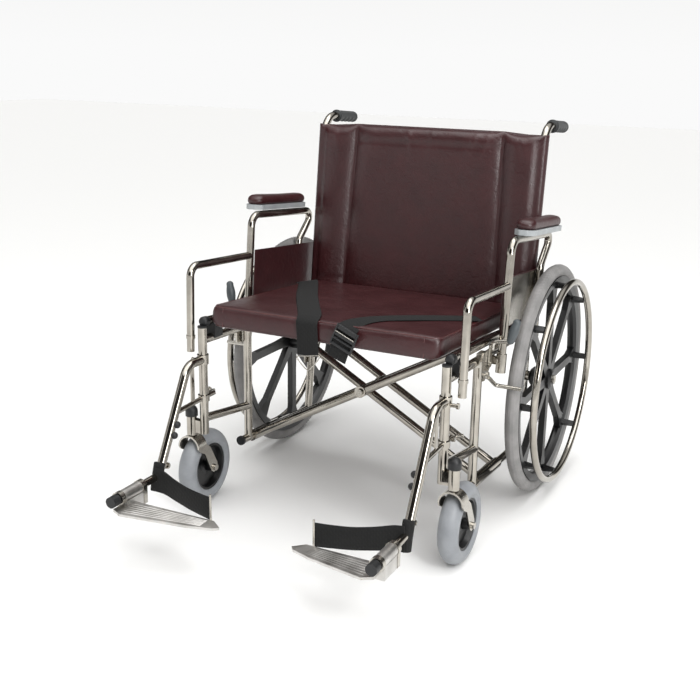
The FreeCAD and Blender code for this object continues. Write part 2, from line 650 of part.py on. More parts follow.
# ---- Upholstery: seat and back in two halves each, and the lap belt
def buildSoftGoods():
    slope = Rotation(X, -v.pivot_slope)
    back = Rotation(X, -math.degrees(math.atan2(v.cane_top_y - v.cane_low_y, v.cane_top_z - v.cane_low_z)))
    crease = 0.15
    width = v.seat_half_width
    # the seat's section across the chair, its lower outer corner cut away over the braces
    seat = plateBody([(crease, 0), (width - 32, 0), (width, 17), (width, v.seat_thick - 9),
                      (width - 9, v.seat_thick), (crease, v.seat_thick)], "seat_length")
    rear = at(0, v.seat_front_y, v.seat_front_top) + slope.multVec(at(0, v.seat_length, -v.seat_thick))
    seat.Placement = Placement(rear, slope * Rotation(X, 90))
    part("seat_left", seat)

    half = v.back_half_width
    panel = block(at(crease, 0, 0), at(half, v.back_thick, v.back_height))
    backLow = at(0, caneY(v.back_low_z), v.back_low_z) + back.multVec(Y * (-v.back_thick / 2))
    panel.Placement = Placement(backLow + at(crease, 0, 0), back)
    cane = bentTube("Dims.tube_radius + 0.4", [at(v.frame_x, caneY(400), 400),
                                               at(v.frame_x, v.cane_top_y, v.cane_top_z),
                                               at(v.frame_x, v.handle_end_y, v.handle_end_z)], [v.cane_bend])
    part("back_left", cut(panel, [cane]))

    top = at(0, v.seat_front_y, v.seat_front_top) + slope.multVec(Z * 0.3)

    frontY = v.seat_front_y - 4.9      # just clear of the seat's leaning front face

    def strip(points, drop):
        """A flat strap on the seat's top, and its end hanging in front of the seat."""
        flat = plateBody(points, 2.5)
        flat.Placement = Placement(top, slope)
        hang = block(at(drop[0], frontY - 2.5, drop[2]), at(drop[1], frontY, v.seat_front_top + 3))
        return fuse([flat, hang])

    half = v.belt_width / 2
    rightStrap = strip([(-25 - half, -7.4), (-25 + half, -7.4), (-216, 360), (-243, 430), (-285, 478),
                        (-285, 420), (-262, 340)], (-25 - half, -25 + half, 452))
    part("lap_belt_right", rightStrap)
    leftStrap = strip([(45, -7.4), (95, -7.4), (150, 62), (238, 152), (285, 232), (285, 292), (250, 262),
                       (192, 178), (110, 96)], (45, 95, 456))
    buckle = block(at(46, frontY - 15, 476), at(104, frontY - 2.7, 538))
    part("lap_belt_left", group([leftStrap, buckle]))


buildSideFrame()
buildFrameFittings()
buildRearWheel()
buildCaster()
buildFootrest()
buildArm()
buildWheelLock()
buildSoftGoods()
doc.recompute()

for name in [n for n in parts if n.endswith("_left") and n != "lap_belt_left"]:
    mirror = doc.addObject("Part::Mirroring", "Mirror")
    mirror.Source = parts[name]
    mirror.Base = Vector(0, 0, 0)
    mirror.Normal = X
    part(name.replace("_left", "_right"), mirror)

buildCrossFrame("cross_frame_a", -1, v.brace_a_y, 0.02)
buildCrossFrame("cross_frame_b", 1, v.brace_b_y, 0.05)
buildCrossBolts()
doc.recompute()

faulty = [o.Label for o in doc.Objects if {"Invalid", "Error"} & set(o.State)]
if faulty:
    raise RuntimeError(f"objects that failed: {faulty}")
for name, obj in parts.items():
    if obj.Shape.isNull() or not obj.Shape.isValid():
        raise RuntimeError(f"{name} has no valid shape")

os.makedirs("parts", exist_ok=True)
for name, obj in parts.items():
    obj.Shape.exportStep(f"parts/{name}.step")
    box = obj.Shape.BoundBox
    print(f"{name:26s} solids {len(obj.Shape.Solids)}  x {box.XMin:.0f}..{box.XMax:.0f}"
          f"  y {box.YMin:.0f}..{box.YMax:.0f}  z {box.ZMin:.0f}..{box.ZMax:.0f}")
print(len(parts), "sub-parts")
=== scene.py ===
import bpy
import bmesh
import math
from mathutils import Matrix, Vector, noise


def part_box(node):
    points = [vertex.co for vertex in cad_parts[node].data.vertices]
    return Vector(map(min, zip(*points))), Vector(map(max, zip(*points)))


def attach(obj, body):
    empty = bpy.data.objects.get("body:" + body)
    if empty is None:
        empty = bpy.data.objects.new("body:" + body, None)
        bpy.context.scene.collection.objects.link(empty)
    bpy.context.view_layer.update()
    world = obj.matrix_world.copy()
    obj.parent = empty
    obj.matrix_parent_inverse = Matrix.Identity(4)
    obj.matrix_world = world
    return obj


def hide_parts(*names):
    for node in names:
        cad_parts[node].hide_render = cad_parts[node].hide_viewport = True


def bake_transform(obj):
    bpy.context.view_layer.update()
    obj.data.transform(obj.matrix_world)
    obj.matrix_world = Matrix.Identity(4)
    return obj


# Folding wheelchair: chromed tube, burgundy vinyl, black nylon wheels, grey tyres.
# Metres, +Z up, the sitter faces -Y and the sitter's left is +X, as in the CAD frame.

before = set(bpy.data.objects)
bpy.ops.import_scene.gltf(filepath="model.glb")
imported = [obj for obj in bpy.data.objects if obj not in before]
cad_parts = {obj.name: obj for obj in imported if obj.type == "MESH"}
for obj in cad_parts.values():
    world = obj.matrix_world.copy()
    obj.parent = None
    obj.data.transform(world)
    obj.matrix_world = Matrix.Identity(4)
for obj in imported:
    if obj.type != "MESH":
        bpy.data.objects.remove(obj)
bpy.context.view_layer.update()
mm = 0.001
sides = (("left", 1), ("right", -1))
print("stage: frame loaded")


# Camera: three-quarter front view from the sitter's left
cameraView = {
    "place": (1.06935, -2.24102, 1.13754),
    "aim": (0.038, -0.157, 0.452),
    "roll": 1.01,          # degrees
    "lens": 52.46,
}


def makeCamera(view):
    camera = bpy.data.objects.new("camera", bpy.data.cameras.new("camera"))
    bpy.context.collection.objects.link(camera)
    place = Vector(view["place"])
    ahead = (Vector(view["aim"]) - place).normalized()
    right = ahead.cross(Vector((0, 0, 1))).normalized()
    up = right.cross(ahead)
    turn = math.radians(view["roll"])
    across = right * math.cos(turn) + up * math.sin(turn)
    upward = up * math.cos(turn) - right * math.sin(turn)
    matrix = Matrix((across, upward, -ahead)).transposed().to_4x4()
    matrix.translation = place
    camera.matrix_world = matrix
    camera.data.lens = view["lens"]
    camera.data.sensor_width = 36
    bpy.context.scene.camera = camera


makeCamera(cameraView)


# Materials
# sRGB hex to linear RGBA
def linear(code):
    channels = [int(code[i:i + 2], 16) / 255 for i in (1, 3, 5)]
    return tuple(c / 12.92 if c <= 0.04045 else ((c + 0.055) / 1.055) ** 2.4 for c in channels) + (1,)


def addNode(tree, kind, settings={}, links={}):
    node = tree.nodes.new(kind)
    for key, value in settings.items():
        if isinstance(key, str) and hasattr(node, key):
            setattr(node, key, value)
        else:
            node.inputs[key].default_value = value
    for key, source in links.items():
        tree.links.new(source, node.inputs[key])
    return node


# a material with one Principled shader; links is a function that makes its textures
def newMaterial(name, settings, links=None):
    material = bpy.data.materials.new(name)
    material.use_nodes = True
    tree = material.node_tree
    tree.nodes.clear()
    place = addNode(tree, "ShaderNodeTexCoord").outputs["Object"]
    made = links(tree, place) if links else {}
    shader = addNode(tree, "ShaderNodeBsdfPrincipled", settings, made)
    addNode(tree, "ShaderNodeOutputMaterial", {}, {"Surface": shader.outputs[0]})
    return material


# set a colour ramp's stops: (position, hex) pairs
def ramp(node, stops):
    elements = node.color_ramp.elements
    while len(elements) < len(stops):
        elements.new(0.5)
    for element, (position, code) in zip(elements, stops):
        element.position = position
        element.color = linear(code)
    return node.outputs["Color"]


# texture scale whose features are about size millimetres apart
def perMetre(size):
    return 1 / (size * mm)


def chromeLinks(tree, place):
    smudge = addNode(tree, "ShaderNodeTexNoise", {"Scale": perMetre(38), "Detail": 5.0}, {"Vector": place})
    rough = addNode(tree, "ShaderNodeMapRange", {"From Min": 0.35, "From Max": 0.75, "To Min": 0.05,
                                                 "To Max": 0.16}, {"Value": smudge.outputs["Fac"]})
    ripple = addNode(tree, "ShaderNodeTexNoise", {"Scale": perMetre(22), "Detail": 1.0}, {"Vector": place})
    bump = addNode(tree, "ShaderNodeBump", {"Strength": 0.25, "Distance": 0.0006},
                   {"Height": ripple.outputs["Fac"]})
    # both tint stops are darker than real chrome: painted shade standing in for darker surroundings in the
    # reflections; the spread between them follows the smudges
    tint = addNode(tree, "ShaderNodeValToRGB", {}, {"Fac": smudge.outputs["Fac"]})
    return {"Base Color": ramp(tint, [(0.3, "#9b968e"), (0.7, "#b2ada4")]),
            "Roughness": rough.outputs["Result"], "Normal": bump.outputs["Normal"]}


def pressedSteelLinks(tree, place):
    scratch = addNode(tree, "ShaderNodeTexNoise", {"Scale": perMetre(6), "Detail": 8.0, "Roughness": 0.7},
                      {"Vector": place})
    rough = addNode(tree, "ShaderNodeMapRange", {"To Min": 0.14, "To Max": 0.34},
                    {"Value": scratch.outputs["Fac"]})
    bump = addNode(tree, "ShaderNodeBump", {"Strength": 0.3, "Distance": 0.0003},
                   {"Height": scratch.outputs["Fac"]})
    tint = addNode(tree, "ShaderNodeValToRGB", {}, {"Fac": scratch.outputs["Fac"]})
    return {"Base Color": ramp(tint, [(0.3, "#aaa69e"), (0.7, "#c4c0b8")]),
            "Roughness": rough.outputs["Result"], "Normal": bump.outputs["Normal"]}


def castMetalLinks(tree, place):
    grain = addNode(tree, "ShaderNodeTexNoise", {"Scale": perMetre(3), "Detail": 6.0}, {"Vector": place})
    wear = addNode(tree, "ShaderNodeTexNoise", {"Scale": perMetre(45), "Detail": 3.0}, {"Vector": place})
    rough = addNode(tree, "ShaderNodeMapRange", {"To Min": 0.28, "To Max": 0.55},
                    {"Value": wear.outputs["Fac"]})
    bump = addNode(tree, "ShaderNodeBump", {"Strength": 0.35, "Distance": 0.0005},
                   {"Height": grain.outputs["Fac"]})
    tint = addNode(tree, "ShaderNodeValToRGB", {}, {"Fac": wear.outputs["Fac"]})
    return {"Base Color": ramp(tint, [(0.3, "#b3b1ad"), (0.7, "#d8d6d3")]),
            "Roughness": rough.outputs["Result"], "Normal": bump.outputs["Normal"]}


def vinylLinks(dark, light, grainSize):
    def make(tree, place):
        # pebble grain is really about 1 mm; drawn coarser so that it shows
        pebble = addNode(tree, "ShaderNodeTexVoronoi", {"Scale": perMetre(grainSize), "Randomness": 1.0,
                                                        "feature": "SMOOTH_F1"}, {"Vector": place})
        cloud = addNode(tree, "ShaderNodeTexNoise", {"Scale": perMetre(55), "Detail": 6.0, "Roughness": 0.6},
                        {"Vector": place})
        crease = addNode(tree, "ShaderNodeTexNoise", {"Scale": perMetre(24), "Detail": 3.0,
                                                      "Distortion": 1.2}, {"Vector": place})
        fine = addNode(tree, "ShaderNodeBump", {"Strength": 0.35, "Distance": 0.0007},
                       {"Height": pebble.outputs["Distance"]})
        soft = addNode(tree, "ShaderNodeBump", {"Strength": 0.35, "Distance": 0.0035},
                       {"Height": crease.outputs["Fac"], "Normal": fine.outputs["Normal"]})
        tint = addNode(tree, "ShaderNodeValToRGB", {}, {"Fac": cloud.outputs["Fac"]})
        rough = addNode(tree, "ShaderNodeMapRange", {"To Min": 0.30, "To Max": 0.50},
                        {"Value": cloud.outputs["Fac"]})
        return {"Base Color": ramp(tint, [(0.32, dark), (0.68, light)]),
                "Roughness": rough.outputs["Result"], "Normal": soft.outputs["Normal"]}
    return make


def plasticLinks(dark, light, grainSize, roughLow, roughHigh):
    def make(tree, place):
        grain = addNode(tree, "ShaderNodeTexNoise", {"Scale": perMetre(grainSize), "Detail": 4.0},
                        {"Vector": place})
        cloud = addNode(tree, "ShaderNodeTexNoise", {"Scale": perMetre(40), "Detail": 3.0}, {"Vector": place})
        bump = addNode(tree, "ShaderNodeBump", {"Strength": 0.25, "Distance": 0.0004},
                       {"Height": grain.outputs["Fac"]})
        tint = addNode(tree, "ShaderNodeValToRGB", {}, {"Fac": cloud.outputs["Fac"]})
        rough = addNode(tree, "ShaderNodeMapRange", {"To Min": roughLow, "To Max": roughHigh},
                        {"Value": cloud.outputs["Fac"]})
        return {"Base Color": ramp(tint, [(0.3, dark), (0.7, light)]),
                "Roughness": rough.outputs["Result"], "Normal": bump.outputs["Normal"]}
    return make


def webbingLinks(tree, place):
    # ribs 1.6 mm apart on the real belt, drawn 3 mm apart
    warp = addNode(tree, "ShaderNodeTexWave", {"Scale": perMetre(3) / 6.28, "bands_direction": "DIAGONAL",
                                               "Distortion": 0.6}, {"Vector": place})
    weft = addNode(tree, "ShaderNodeTexWave", {"Scale": perMetre(3) / 6.28, "bands_direction": "X",
                                               "Distortion": 0.6}, {"Vector": place})
    weave = addNode(tree, "ShaderNodeMath", {"operation": "MULTIPLY"},
                    {0: warp.outputs["Fac"], 1: weft.outputs["Fac"]})
    bump = addNode(tree, "ShaderNodeBump", {"Strength": 0.5, "Distance": 0.0006},
                   {"Height": weave.outputs["Value"]})
    tint = addNode(tree, "ShaderNodeValToRGB", {}, {"Fac": weave.outputs["Value"]})
    return {"Base Color": ramp(tint, [(0.0, "#050505"), (1.0, "#0d0e0e")]), "Normal": bump.outputs["Normal"]}


# Chrome plate on steel tube: faint smudges and a slightly warm cast; its base colour is kept darker than real
# chrome, painted shade that dims the pale floor it mirrors
chromeTube = newMaterial("chromePlatedTube", {"Metallic": 1.0}, chromeLinks)
# Plated pressed steel: bright, but rolled flat stock scatters more than tube
chromePlate = newMaterial("chromePlatedPressedSteel", {"Metallic": 1.0}, pressedSteelLinks)
# Cast aluminium with a worn satin skin on the tread
castAluminium = newMaterial("castAluminiumSatin", {"Metallic": 1.0}, castMetalLinks)
# Expanded vinyl on the seat, back and arm pads: deep burgundy, soft gloss from the top coat
vinyl = newMaterial("burgundyVinylGrained", {"Coat Weight": 0.08, "Coat Roughness": 0.25, "IOR": 1.53},
                    vinylLinks("#2e0c0f", "#371013", 3.2))
# The same vinyl stretched on the side boards, darker for lying in shade
panelVinyl = newMaterial("burgundyVinylOnBoard", {"Coat Weight": 0.15, "Coat Roughness": 0.3, "IOR": 1.53},
                         vinylLinks("#2e1114", "#3b171a", 3.2))
# Vinyl piping: the fold over a cord is a little shinier; its lighter, redder colour is a painted highlight
# along the seam
piping = newMaterial("burgundyVinylPiping", {"Coat Weight": 0.35, "Coat Roughness": 0.2, "IOR": 1.53},
                     vinylLinks("#3d1517", "#4e2020", 3.2))
# Glass-filled nylon of the wheels: black with a satin moulded skin
wheelNylon = newMaterial("blackNylonMoulded", {"IOR": 1.53},
                         plasticLinks("#030304", "#070809", 1.5, 0.26, 0.40))
# Polypropylene caps and saddles: duller black
blackPlastic = newMaterial("blackPolypropyleneMoulded", {"IOR": 1.49},
                           plasticLinks("#121314", "#1c1d1f", 2, 0.4, 0.55))
# Handle rubber: matt black with a dusty bloom
gripRubber = newMaterial("blackHandleRubber", {"IOR": 1.5, "Sheen Weight": 0.1},
                         plasticLinks("#161819", "#2b2e2f", 1.5, 0.5, 0.7))
# Non-marking grey rubber of the driving tyres: matt and slightly warm
tyreRubber = newMaterial("greyTyreRubber", {"IOR": 1.5}, plasticLinks("#787776", "#8d8b8a", 2, 0.55, 0.72))
# Polyurethane caster tyres: smoother and a little bluer
casterRubber = newMaterial("greyPolyurethaneTyre", {"IOR": 1.5},
                           plasticLinks("#7c7f83", "#8d9094", 5, 0.38, 0.5))
# ABS bases of the arm pads: pale grey, moulded satin
greyPlastic = newMaterial("paleGreyAbs", {"IOR": 1.54}, plasticLinks("#8e9294", "#a2a6a8", 2, 0.35, 0.5))
# Dipped vinyl grip of the wheel locks: slate grey
leverRubber = newMaterial("slateDippedVinyl", {"IOR": 1.53}, plasticLinks("#3a3f42", "#4b5154", 2, 0.4, 0.55))
# Woven polyester webbing: near black, with hardly any sheen
webbing = newMaterial("blackWovenWebbing", {"Roughness": 0.88, "IOR": 1.5}, webbingLinks)
print("stage: materials")

nodeFinishes = {
    "side_frame": chromeTube, "frame_caps": blackPlastic, "rear_axle": chromePlate,
    "lock_bracket": chromePlate, "mag_wheel": wheelNylon, "handrim": chromeTube, "caster_fork": chromePlate,
    "caster_tyre": casterRubber, "caster_hub": wheelNylon, "hanger": chromeTube,
    "hanger_bumpers": blackPlastic, "hanger_latch": chromePlate, "leg_tube": chromeTube,
    "leg_cap": blackPlastic, "footplate_collars": chromePlate, "footplate": castAluminium,
    "arm_frame": chromeTube, "side_panel": panelVinyl, "arm_pad_base": greyPlastic, "lock_lever": chromePlate,
    "lock_shoe": chromePlate, "cross_frame_a": chromeTube, "cross_frame_b": chromeTube,
    "cross_bolts": chromePlate, "push_grip": gripRubber, "rear_tyre": tyreRubber, "heel_loop": webbing,
    "arm_pad": vinyl, "seat": vinyl, "back": vinyl, "lap_belt": webbing,
}
for nodeName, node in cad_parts.items():
    kind = nodeName.replace("_left", "").replace("_right", "")
    node.data.materials.clear()
    node.data.materials.append(nodeFinishes[kind])


# Mesh helpers
def meshObject(name, verts, faces, material, smooth=True):
    mesh = bpy.data.meshes.new(name)
    mesh.from_pydata([tuple(p) for p in verts], [], faces)
    mesh.validate()
    bm = bmesh.new()
    bm.from_mesh(mesh)
    bmesh.ops.recalc_face_normals(bm, faces=bm.faces)
    bm.to_mesh(mesh)
    bm.free()
    piece = bpy.data.objects.new(name, mesh)
    bpy.context.collection.objects.link(piece)
    mesh.materials.append(material)
    if smooth:
        mesh.shade_smooth()
    return piece


# small rounded edges, so that they catch the light
def softenEdges(piece, width, segments=2, angle=35):
    bevel = piece.modifiers.new("Bevel", "BEVEL")
    bevel.width = width
    bevel.segments = segments
    bevel.limit_method = "ANGLE"
    bevel.angle_limit = math.radians(angle)
    bevel.harden_normals = False
    return piece


# points of a Catmull-Rom curve through the given ones
def smoothPath(points, steps):
    ends = [points[0] * 2 - points[1]] + list(points) + [points[-1] * 2 - points[-2]]
    path = []
    for a, b, c, d in zip(ends, ends[1:], ends[2:], ends[3:]):
        for i in range(steps):
            t = i / steps
            path.append(0.5 * ((2 * b) + (c - a) * t + (2 * a - 5 * b + 4 * c - d) * t ** 2
                               + (3 * b - a - 3 * c + d) * t ** 3))
    path.append(points[-1].copy())
    return path


# a skin over rings of points that all have the same count
def loft(name, rings, material, capped=True, closed=False):
    count = len(rings[0])
    verts = [p for ring in rings for p in ring]
    faces = []
    total = len(rings)
    for i in range(total if closed else total - 1):
        a, b = i * count, ((i + 1) % total) * count
        for j in range(count):
            k = (j + 1) % count
            faces.append((a + j, a + k, b + k, b + j))
    if capped and not closed:
        faces.append(tuple(range(count)))
        faces.append(tuple(range((total - 1) * count, total * count)))
    return meshObject(name, verts, faces, material)


# a round bar along a path, its ends domed; radius is a number or a function of 0..1
def tubeAlong(name, path, radius, material, sides=16, ends=0.35):
    rings = []
    up = Vector((0, 0, 1))
    last = len(path) - 1
    for i, p in enumerate(path):
        ahead = (path[min(i + 1, last)] - path[max(i - 1, 0)]).normalized()
        if abs(ahead.dot(up)) > 0.95:
            up = Vector((0, 1, 0))
        across = ahead.cross(up).normalized()
        over = across.cross(ahead)
        up = over
        r = radius(i / last) if callable(radius) else radius
        ring = [(across * math.cos(2 * math.pi * k / sides) + over * math.sin(2 * math.pi * k / sides))
                for k in range(sides)]
        if i == 0 and ends:
            for lean in (1, 0.7, 0.35):
                inner = r * math.sqrt(1 - lean ** 2 * 0.9)
                rings.append([p - ahead * r * ends * lean + q * inner for q in ring])
        rings.append([p + q * r for q in ring])
        if i == last and ends:
            for lean in (0.35, 0.7, 1):
                inner = r * math.sqrt(1 - lean ** 2 * 0.9)
                rings.append([p + ahead * r * ends * lean + q * inner for q in ring])
    return loft(name, rings, material)


# a flat strap through stations, each a (centre, across) pair; across is its width direction
def ribbon(name, stations, width, thick, material, steps=10):
    centres = smoothPath([Vector(c) for c, a in stations], steps)
    leans = smoothPath([Vector(a).normalized() for c, a in stations], steps)
    rings = []
    last = len(centres) - 1
    for i, (p, lean) in enumerate(zip(centres, leans)):
        ahead = (centres[min(i + 1, last)] - centres[max(i - 1, 0)]).normalized()
        across = (lean - ahead * lean.dot(ahead)).normalized()
        over = across.cross(ahead)
        outline = []
        for u, w in ((-0.5, 0), (-0.47, 0.5), (-0.25, 0.56), (0, 0.58), (0.25, 0.56), (0.47, 0.5), (0.5, 0),
                     (0.47, -0.5), (0.25, -0.56), (0, -0.58), (-0.25, -0.56), (-0.47, -0.5)):
            outline.append(p + across * (u * width) + over * (w * thick))
        rings.append(outline)
    return loft(name, rings, material)


# a closed box with rounded edges and rounder corners in plan; shape moves each point
def roundedSlab(name, size, edge, corner, cells, material, shape=None):
    half = Vector(size) / 2
    verts, faces, index = [], [], {}

    def vertex(i, j, k):
        key = (i, j, k)
        if key not in index:
            p = Vector(((i / cells[0] * 2 - 1) * half.x, (j / cells[1] * 2 - 1) * half.y,
                        (k / cells[2] * 2 - 1) * half.z))
            plan = Vector((p.x, p.y))
            inner = Vector((max(-half.x + corner, min(half.x - corner, p.x)),
                            max(-half.y + corner, min(half.y - corner, p.y))))
            out = plan - inner
            if out.length > corner:
                plan = inner + out * (corner / out.length)
            p = Vector((plan.x, plan.y, p.z))
            fromSide = min(half.x - abs(p.x), half.y - abs(p.y))
            if out.x and out.y:
                fromSide = corner - (plan - inner).length
            nearSide = max(0, edge - fromSide)
            nearTop = max(0, edge - (half.z - abs(p.z)))
            if nearSide > 0 and nearTop > 0:
                length = math.hypot(nearSide, nearTop)
                if length > edge:
                    pull = edge / length
                    p.z = math.copysign(half.z - edge + nearTop * pull, p.z)
                    shrink = nearSide - nearSide * pull
                    if out.x and out.y:
                        away = (plan - inner).normalized()
                        p.x -= away.x * shrink
                        p.y -= away.y * shrink
                    elif half.x - abs(p.x) < half.y - abs(p.y):
                        p.x -= math.copysign(shrink, p.x)
                    else:
                        p.y -= math.copysign(shrink, p.y)
            index[key] = len(verts)
            verts.append(shape(p) if shape else p)
        return index[key]

    nx, ny, nz = cells
    for i in range(nx):
        for j in range(ny):
            for k in (0, nz):
                faces.append((vertex(i, j, k), vertex(i + 1, j, k),
                              vertex(i + 1, j + 1, k), vertex(i, j + 1, k)))
    for i in range(nx):
        for k in range(nz):
            for j in (0, ny):
                faces.append((vertex(i, j, k), vertex(i + 1, j, k),
                              vertex(i + 1, j, k + 1), vertex(i, j, k + 1)))
    for j in range(ny):
        for k in range(nz):
            for i in (0, nx):
                faces.append((vertex(i, j, k), vertex(i, j + 1, k),
                              vertex(i, j + 1, k + 1), vertex(i, j, k + 1)))
    return meshObject(name, verts, faces, material)


# 1 at the middle, falling smoothly to 0
def bell(x, middle, width):
    return math.exp(-((x - middle) / width) ** 2)


# Seat cushion
seatCushion = {
    "halfWidth": 299 * mm,
    "length": 537 * mm,
    "thick": 54 * mm,
    "frontTop": Vector((0, -0.242, 0.538)),
    "slope": math.radians(-4),
    "edge": 11 * mm,
    "corner": 24 * mm,
    "crown": 7 * mm,
    "pipingRadius": 2.1 * mm,
}
seatTurn = Matrix.Rotation(seatCushion["slope"], 3, "X")


# height of the cushion's top over its flat plane; along is the distance back from the front edge
def seatCrown(x, along):
    s = seatCushion
    across = 1 - abs(x / s["halfWidth"]) ** 3
    depth = 1 - abs(along / s["length"] * 2 - 1) ** 4
    sag = 5 * mm * bell(x, 0, 0.13) * bell(along, 0.27, 0.16)
    return s["crown"] * max(0, across) * max(0, depth) - sag


# a point on the cushion's top, over metres above it
def seatPoint(x, along, over=0.0):
    s = seatCushion
    local = Vector((x, along, seatCrown(x, along) + over))
    return s["frontTop"] + seatTurn @ local


def makeSeat():
    s = seatCushion

    def shape(p):
        along = p.y + s["length"] / 2
        up = p.z / (s["thick"] / 2)
        ripple = noise.noise(Vector((p.x * 9, p.y * 9, 3))) * 1.4 * mm
        wrinkle = noise.noise(Vector((p.x * 34, p.y * 6, 1))) * 0.9 * mm
        wrinkle *= bell(abs(p.x), s["halfWidth"], 0.06) + bell(along, 0, 0.05) * 0.8
        height = p.z
        if up > 0:
            height += (seatCrown(p.x, along) + ripple + wrinkle) * up
        else:
            # the lower outer corner is cut away over the braces
            height += max(0, abs(p.x) - 284 * mm) * 0.5 * -up
        bulge = (1 - up ** 2) * 3 * mm
        x = p.x + math.copysign(bulge * bell(abs(p.x), s["halfWidth"], 0.03), p.x)
        x = max(-s["halfWidth"] - 1 * mm, min(s["halfWidth"] + 1 * mm, x))
        y = p.y - bulge * bell(along, 0, 0.03)
        local = Vector((x, y + s["length"] / 2, height - s["thick"] / 2))
        return s["frontTop"] + seatTurn @ local

    cushion = roundedSlab("seatCushion", (s["halfWidth"] * 2, s["length"], s["thick"]), s["edge"], s["corner"],
                          (64, 58, 8), vinyl, shape)
    cushion.modifiers.new("Smooth", "SUBSURF").levels = 1
    cushion.modifiers["Smooth"].render_levels = 1
    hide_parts("seat_left", "seat_right")
    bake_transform(cushion)

    # piping round the top seam, in two runs that part at the crease
    for side, sign in sides:
        edge = []
        inset = 3.5 * mm
        w = s["halfWidth"] - inset
        c = s["corner"]
        drop = -s["edge"] * 0.42
        edge.append((0.4 * mm, inset))
        for i in range(1, 8):
            edge.append((i / 8 * (w - c), inset))
        for i in range(9):
            turn = i / 8 * math.pi / 2
            edge.append((w - c + c * math.sin(turn), inset + c - c * math.cos(turn)))
        for i in range(1, 12):
            edge.append((w, inset + c + i / 12 * (s["length"] - 2 * c)))
        path = [seatPoint(sign * x, y, drop + 1.2 * mm) for x, y in edge]
        cord = tubeAlong(f"seatPiping_{side}", smoothPath(path, 4), s["pipingRadius"], piping, sides=8)
        # the boxed corner's seam runs down the front face
        seamX = sign * 0.262
        down = [seatPoint(seamX, -1.2 * mm, -drop) for drop in (4 * mm, 14 * mm, 26 * mm, 38 * mm, 50 * mm)]
        seam = tubeAlong(f"seatCornerSeam_{side}", down, 1.3 * mm, piping, sides=8)
        for piece in (cord, seam):
            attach(piece, f"seat_{side}")


makeSeat()
print("stage: seat")


# Back upholstery: a centre panel between two padded side panels, wrapped round the canes
backRest = {
    "low": Vector((0, 0.3287, 0.452)),
    "lean": math.radians(-6.245),
    "height": 484 * mm,
    "caneX": 320 * mm,
    "wrap": 14 * mm,
    "seamTop": 212 * mm,
    "seamLow": 226 * mm,
    "sidePuff": 19 * mm,
    "centrePuff": 15 * mm,
    "hem": 42 * mm,
}
backTurn = Matrix.Rotation(backRest["lean"], 3, "X")


def backPoint(x, offset, up):
    b = backRest
    return b["low"] + backTurn @ Vector((x, offset, up))


# how far the front surface stands forward of the canes' plane
def backFront(x, up):
    b = backRest
    seam = b["seamLow"] + (b["seamTop"] - b["seamLow"]) * up / b["height"]
    ends = min(1, up / (26 * mm)) * min(1, (b["height"] - up) / (22 * mm))
    ends = math.sqrt(max(0, ends))
    a = abs(x)
    if a < seam:
        t = a / seam
        puff = b["centrePuff"] * (1 - t ** 12)
        sag = -7 * mm * (1 - t ** 2) * math.sin(math.pi * min(1, up / b["height"]))
    else:
        t = abs((a - seam) / (b["caneX"] + 8 * mm - seam) * 2 - 1)
        puff = b["sidePuff"] * (1 - t ** 2.6)
        sag = 0
    hemLine = b["height"] - b["hem"]
    groove = -2.5 * mm * bell(up, hemLine, 3.5 * mm) if a < seam else 0
    tuck = -2.4 * mm * bell(up, 52 * mm, 5 * mm) if a > seam else 0
    wrinkle = noise.noise(Vector((x * 17 + up * 9, up * 5, 2))) * 2.4 * mm * bell(up, b["height"], 0.06)
    wave = noise.noise(Vector((x * 7, up * 6, 5))) * 2.0 * mm
    folds = 0
    for where, lean, size in ((-0.055, 0.25, 2.6), (0.148, -0.45, 3.0), (0.178, -0.3, 2.2), (-0.28, 0.3, 1.6),
                              (0.262, 0.35, 1.8), (0.02, -0.1, 1.3)):
        near = where + (b["height"] - up) * lean
        folds += size * mm * bell(x, near, 6 * mm) * bell(up, b["height"] - 18 * mm, 0.045)
    return (puff + folds) * ends + sag + groove + tuck + wrinkle + wave


def makeBack():
    b = backRest
    halfTurn = 9
    columns = 120
    rows = 70
    rings = []
    for i in range(rows + 1):
        share = i / rows
        up = b["height"] * share
        # the top and bottom edges close in over a few millimetres
        pinch = min(1, min(up, b["height"] - up) / (9 * mm))
        pinch = 0.12 + 0.88 * math.sqrt(1 - (1 - pinch) ** 2)
        ring = []
        for j in range(columns + 1):
            x = -b["caneX"] + 2 * b["caneX"] * j / columns
            peak = 5 * mm * (bell(abs(x), b["seamTop"], 0.012)) - 5 * mm * bell(abs(x), 0.265, 0.03)
            rise = up + peak * share ** 8
            offset = -(b["wrap"] * (0.9 if abs(x) < b["caneX"] else 1)) * 0.55 * pinch
            edgeShare = max(0, (abs(x) - 0.3) / 0.02)
            offset = offset * (1 - edgeShare) - b["wrap"] * pinch * edgeShare
            ring.append(backPoint(x, offset - backFront(x, up) * pinch * (1 - edgeShare), rise))
        for j in range(1, halfTurn):
            turn = math.pi * j / halfTurn
            ring.append(backPoint(b["caneX"] + b["wrap"] * math.sin(turn), -b["wrap"] * math.cos(turn), up))
        for j in range(columns // 2 + 1):
            x = b["caneX"] - 2 * b["caneX"] * j / (columns // 2)
            flat = 1 - (abs(x) / b["caneX"]) ** 6
            offset = (b["wrap"] - 6 * mm * flat) * (pinch if abs(x) < 0.3 else 1)
            offset += noise.noise(Vector((x * 6, up * 6, 9))) * 1.5 * mm * flat
            ring.append(backPoint(x, offset, up))
        for j in range(1, halfTurn):
            turn = math.pi * j / halfTurn
            ring.append(backPoint(-b["caneX"] - b["wrap"] * math.sin(turn), b["wrap"] * math.cos(turn), up))
        rings.append(ring)
    upholstery = loft("backUpholstery", rings, vinyl)
    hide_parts("back_left", "back_right")
    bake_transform(upholstery)


makeBack()
print("stage: back")


# Arm pads: crowned vinyl over foam on the grey base
armPad = {"edge": 9 * mm, "corner": 22 * mm, "crown": 5 * mm}


